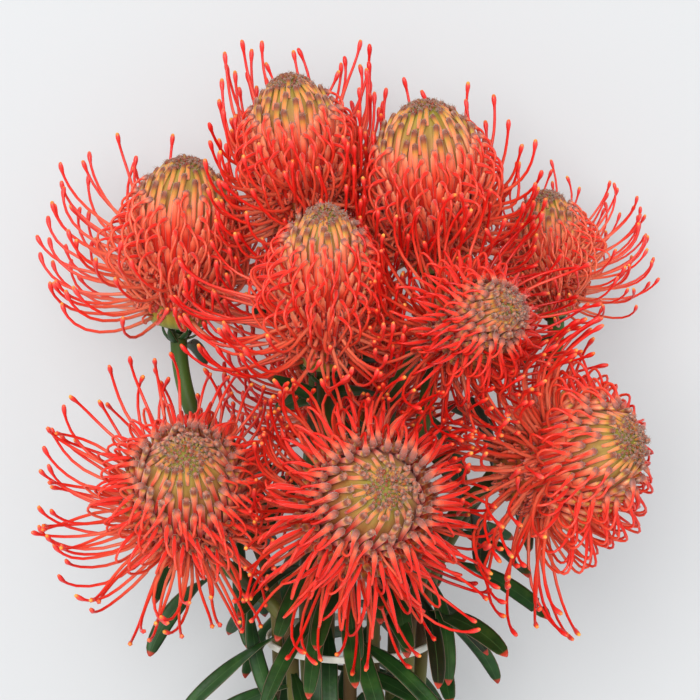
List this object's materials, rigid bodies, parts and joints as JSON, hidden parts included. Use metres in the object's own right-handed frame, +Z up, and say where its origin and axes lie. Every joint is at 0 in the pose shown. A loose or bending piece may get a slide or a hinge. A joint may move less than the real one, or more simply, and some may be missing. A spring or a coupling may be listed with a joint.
{
  "type": "bunch of pincushion protea flowers",
  "caption": "Cut bunch of orange-red pincushion protea blooms on leafy stems, held by a white rubber band and laid on a table",
  "frame": {"origin": "middle of the bunch's footprint on the surface that it lies on", "axes": "+Z up from the surface, +Y from the cut stem ends to the blooms, +X to the right of a viewer who looks down with the blooms at the top"},
  "size_m": [0.2664, 0.4786, 0.2026],
  "materials": {
    "bloom": "satin orange-red styles over a salmon and olive head",
    "foliage": "satin dark green leaves on a green stem",
    "band": "matt off-white rubber"
  },
  "bodies": {
    "root": {"bloom_01": "bloom", "bloom_02": "bloom", "bloom_03": "bloom", "bloom_04": "bloom", "bloom_05": "bloom", "bloom_06": "bloom", "bloom_07": "bloom", "bloom_08": "bloom", "bloom_09": "bloom", "bloom_10": "bloom", "leafy_stem_01": "foliage", "leafy_stem_02": "foliage", "leafy_stem_03": "foliage", "leafy_stem_04": "foliage", "leafy_stem_05": "foliage", "leafy_stem_06": "foliage", "leafy_stem_07": "foliage", "leafy_stem_08": "foliage", "leafy_stem_09": "foliage", "leafy_stem_10": "foliage", "rubber_band": "band"}
  },
  "joints": []
}
